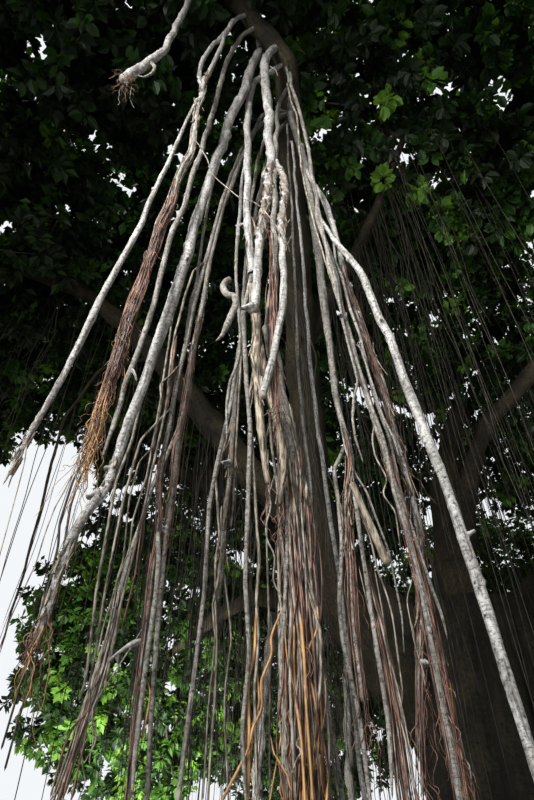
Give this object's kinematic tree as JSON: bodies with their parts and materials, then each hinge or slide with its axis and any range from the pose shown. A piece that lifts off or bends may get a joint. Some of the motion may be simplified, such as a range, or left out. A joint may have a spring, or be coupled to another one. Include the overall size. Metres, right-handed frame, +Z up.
{
  "type": "banyan tree",
  "caption": "Whole banyan tree: fluted flared trunk, spreading boughs, a hanging curtain of aerial roots, pillar roots and a wide low crown in separate masses of foliage.",
  "frame": {"origin": "middle of the flat cut under the trunk, at ground level", "axes": "+Z up the trunk, +Y the way the picture looks, +X to its right"},
  "size_m": [20.7603, 21.1246, 13.5889],
  "materials": {
    "trunk_bark": "rough grey bark, fluted",
    "bough_bark": "grey olive bark with fine cross rings",
    "root_bark": "smooth pale grey root bark with dark flecks",
    "bare_wood": "stripped pale yellow wood",
    "foliage": "leathery dark green leaves on thin brown twigs"
  },
  "bodies": {
    "root": {"trunk": "trunk_bark", "bough_right": "bough_bark", "bough_right_back": "bough_bark", "bough_back_right": "bough_bark", "bough_back": "bough_bark", "bough_back_left": "bough_bark", "bough_left_high": "bough_bark", "bough_leader": "bough_bark", "bough_over_roots": "bough_bark", "bough_left": "bough_bark", "bough_arch": "bough_bark", "limb_front": "bough_bark", "limb_left_inner": "bough_bark", "limb_back_inner": "bough_bark", "limb_right_inner": "bough_bark", "root_cut_left": "root_bark", "root_twins_left": "root_bark", "root_far_left": "root_bark", "root_grey_left": "root_bark", "root_thick": "root_bark", "root_slim_left": "root_bark", "root_knotty_left": "root_bark", "root_low_left": "root_bark", "root_hollow": "root_bark", "root_curled": "root_bark", "root_long_smooth": "root_bark", "root_broken": "root_bark", "root_centre": "root_bark", "root_peeled": "bare_wood", "root_bundle": "root_bark", "root_second_peeled": "bare_wood", "root_pair_left": "root_bark", "root_pair_right": "root_bark", "root_broad": "root_bark", "root_strands": "root_bark", "root_rough": "root_bark", "root_smooth_right": "root_bark", "pillar_right": "root_bark", "pillar_back": "root_bark", "pillar_back_left": "root_bark", "root_lone_arch": "root_bark", "root_lone_right": "root_bark", "root_lone_back_right": "root_bark", "root_lone_left_near": "root_bark", "root_lone_left": "root_bark", "root_lone_left_high": "root_bark", "mass_front_left": "foliage", "mass_front_right": "foliage", "mass_right": "foliage", "mass_right_back": "foliage", "mass_back_right": "foliage", "mass_back": "foliage", "mass_back_left": "foliage", "mass_left_high": "foliage", "mass_left": "foliage", "mass_inner_front": "foliage", "mass_inner_left": "foliage", "mass_inner_back": "foliage", "mass_inner_right": "foliage", "mass_top": "foliage"}
  },
  "joints": []
}
